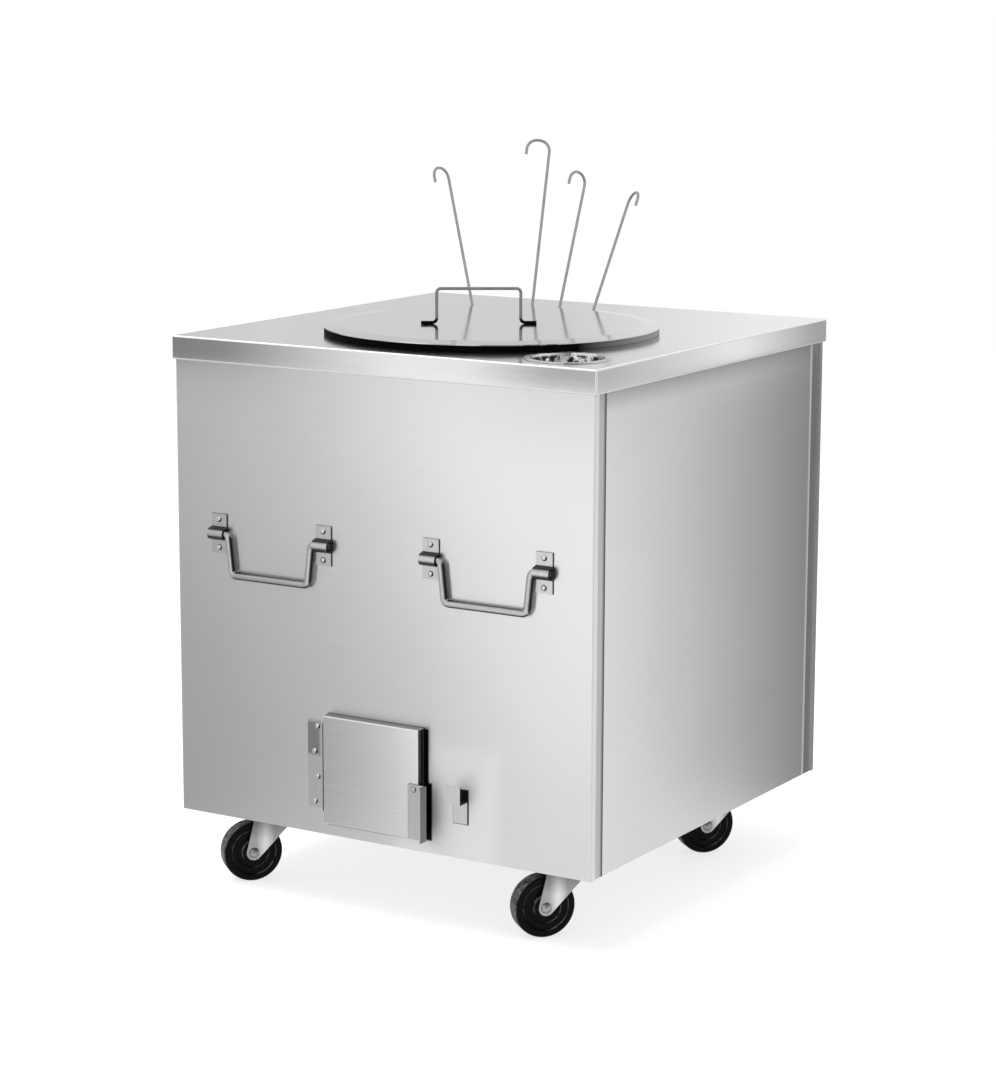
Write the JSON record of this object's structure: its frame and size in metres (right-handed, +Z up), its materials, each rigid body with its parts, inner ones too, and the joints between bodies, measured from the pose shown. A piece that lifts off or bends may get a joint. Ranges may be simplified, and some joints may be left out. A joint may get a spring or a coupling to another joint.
{
  "type": "tandoor oven",
  "caption": "Square stainless steel tandoor oven on swivel casters with a round lid, hooked skewers, drop-in cup, drop handles and a latched ash door.",
  "frame": {"origin": "on the floor under the middle of the cabinet", "axes": "+Z up, -Y towards the front with the ash door, +X to the right seen from the front"},
  "size_m": [0.8, 0.8325, 1.2306],
  "materials": {
    "deck_steel": "brushed satin stainless sheet",
    "panel_steel": "brushed stainless sheet",
    "post_steel": "mill-finish stainless angle",
    "base_steel": "mill-finish steel",
    "ring_steel": "stainless collar, heat dulled",
    "lid_steel": "satin polished stainless disc",
    "lid_band": "blackened steel band",
    "rod_steel": "bright polished rod",
    "skewer_steel": "drawn steel rod",
    "cup_steel": "mirror polished bowl",
    "door_steel": "brushed stainless sheet",
    "clip_steel": "bright pressed strip",
    "rivet_steel": "bright dome rivet",
    "zinc_steel": "zinc-plated pressing",
    "wheel_rubber": "black moulded rubber",
    "clay": "unglazed fired clay",
    "firebrick": "refractory slab",
    "fibre": "loose ceramic-fibre wool",
    "grate_iron": "raw casting"
  },
  "bodies": {
    "cabinet": {"base_pan": "base_steel", "base_rail_left": "base_steel", "base_rail_right": "base_steel", "hearth_slab": "firebrick", "front_panel": "panel_steel", "rear_panel": "panel_steel", "left_side_panel": "panel_steel", "right_side_panel": "panel_steel", "post_front_left": "post_steel", "post_front_right": "post_steel", "post_rear_left": "post_steel", "post_rear_right": "post_steel", "top_pan": "deck_steel", "mouth_ring": "ring_steel", "clay_pot": "clay", "insulation_fill": "fibre", "fire_grate": "grate_iron", "draft_tunnel": "base_steel", "hinge_leaf_fixed": "door_steel", "hinge_pin": "door_steel", "hinge_rivets": "rivet_steel", "keeper_hook": "door_steel", "left_handle_clip_outer": "clip_steel", "left_handle_clip_inner": "clip_steel", "right_handle_clip_inner": "clip_steel", "right_handle_clip_outer": "clip_steel", "clip_rivets": "rivet_steel", "caster_bolts": "zinc_steel", "caster_plate_front_left": "zinc_steel", "caster_plate_front_right": "zinc_steel", "caster_plate_rear_left": "zinc_steel", "caster_plate_rear_right": "zinc_steel"},
    "lid": {"lid_disc": "lid_steel", "lid_band": "lid_band", "lid_handle": "rod_steel"},
    "cup": {"drop_in_cup": "cup_steel"},
    "ash_door": {"door_pan": "door_steel", "door_liner": "base_steel", "hinge_leaf_door": "door_steel", "latch_rivet": "rivet_steel"},
    "latch": {"latch_bar": "door_steel"},
    "left_handle": {"left_bail": "rod_steel"},
    "right_handle": {"right_bail": "rod_steel"},
    "caster_front_left": {"caster_fork_front_left": "zinc_steel", "caster_axle_front_left": "zinc_steel"},
    "wheel_front_left": {"caster_wheel_front_left": "wheel_rubber"},
    "caster_front_right": {"caster_fork_front_right": "zinc_steel", "caster_axle_front_right": "zinc_steel"},
    "wheel_front_right": {"caster_wheel_front_right": "wheel_rubber"},
    "caster_rear_left": {"caster_fork_rear_left": "zinc_steel", "caster_axle_rear_left": "zinc_steel"},
    "wheel_rear_left": {"caster_wheel_rear_left": "wheel_rubber"},
    "caster_rear_right": {"caster_fork_rear_right": "zinc_steel", "caster_axle_rear_right": "zinc_steel"},
    "wheel_rear_right": {"caster_wheel_rear_right": "wheel_rubber"},
    "skewer_1": {"skewer_1": "skewer_steel"},
    "skewer_2": {"skewer_2": "skewer_steel"},
    "skewer_3": {"skewer_3": "skewer_steel"},
    "skewer_4": {"skewer_4": "skewer_steel"}
  },
  "joints": [
    {"name": "lid_lift", "type": "slide", "parent": "cabinet", "child": "lid", "axis": [0, 0, 1], "range_m": [0, 0.4]},
    {"name": "cup_lift", "type": "slide", "parent": "cabinet", "child": "cup", "axis": [0, 0, 1], "range_m": [0, 0.12]},
    {"name": "door_hinge", "type": "hinge", "parent": "cabinet", "child": "ash_door", "pos_m": [-0.09935, -0.4005, 0.25], "axis": [0, 0, -1], "range_deg": [0, 100]},
    {"name": "latch_swing", "type": "hinge", "parent": "ash_door", "child": "latch", "pos_m": [0.08125, -0.41575, 0.2398], "axis": [0, 1, 0], "range_deg": [0, 270]},
    {"name": "left_handle_swing", "type": "hinge", "parent": "cabinet", "child": "left_handle", "pos_m": [-0.206, -0.4024, 0.6126], "axis": [-1, 0, 0], "range_deg": [0, 175]},
    {"name": "right_handle_swing", "type": "hinge", "parent": "cabinet", "child": "right_handle", "pos_m": [0.206, -0.4024, 0.6126], "axis": [-1, 0, 0], "range_deg": [0, 175]},
    {"name": "caster_swivel_front_left", "type": "hinge", "parent": "cabinet", "child": "caster_front_left", "pos_m": [-0.2875, -0.277, 0.12], "axis": [0, 0, 1], "continuous": true},
    {"name": "wheel_spin_front_left", "type": "hinge", "parent": "caster_front_left", "child": "wheel_front_left", "pos_m": [-0.31643, -0.31147, 0.051], "axis": [0.766, -0.6428, 0], "continuous": true},
    {"name": "caster_swivel_front_right", "type": "hinge", "parent": "cabinet", "child": "caster_front_right", "pos_m": [0.2875, -0.277, 0.12], "axis": [0, 0, 1], "continuous": true},
    {"name": "wheel_spin_front_right", "type": "hinge", "parent": "caster_front_right", "child": "wheel_front_right", "pos_m": [0.25857, -0.31147, 0.051], "axis": [0.766, -0.6428, 0], "continuous": true},
    {"name": "caster_swivel_rear_left", "type": "hinge", "parent": "cabinet", "child": "caster_rear_left", "pos_m": [-0.2875, 0.277, 0.12], "axis": [0, 0, 1], "continuous": true},
    {"name": "wheel_spin_rear_left", "type": "hinge", "parent": "caster_rear_left", "child": "wheel_rear_left", "pos_m": [-0.31643, 0.24253, 0.051], "axis": [0.766, -0.6428, 0], "continuous": true},
    {"name": "caster_swivel_rear_right", "type": "hinge", "parent": "cabinet", "child": "caster_rear_right", "pos_m": [0.2875, 0.277, 0.12], "axis": [0, 0, 1], "continuous": true},
    {"name": "wheel_spin_rear_right", "type": "hinge", "parent": "caster_rear_right", "child": "wheel_rear_right", "pos_m": [0.25857, 0.24253, 0.051], "axis": [0.766, -0.6428, 0], "continuous": true},
    {"name": "skewer_1_lift", "type": "slide", "parent": "cabinet", "child": "skewer_1", "axis": [-0.3065, 0.1442, 0.9409], "range_m": [0, 0.75]},
    {"name": "skewer_2_lift", "type": "slide", "parent": "cabinet", "child": "skewer_2", "axis": [-0.02, 0.2377, 0.9711], "range_m": [0, 0.75]},
    {"name": "skewer_3_lift", "type": "slide", "parent": "cabinet", "child": "skewer_3", "axis": [0.0026, 0.3714, 0.9285], "range_m": [0, 0.75]},
    {"name": "skewer_4_lift", "type": "slide", "parent": "cabinet", "child": "skewer_4", "axis": [0.0898, 0.4339, 0.8965], "range_m": [0, 0.75]}
  ]
}
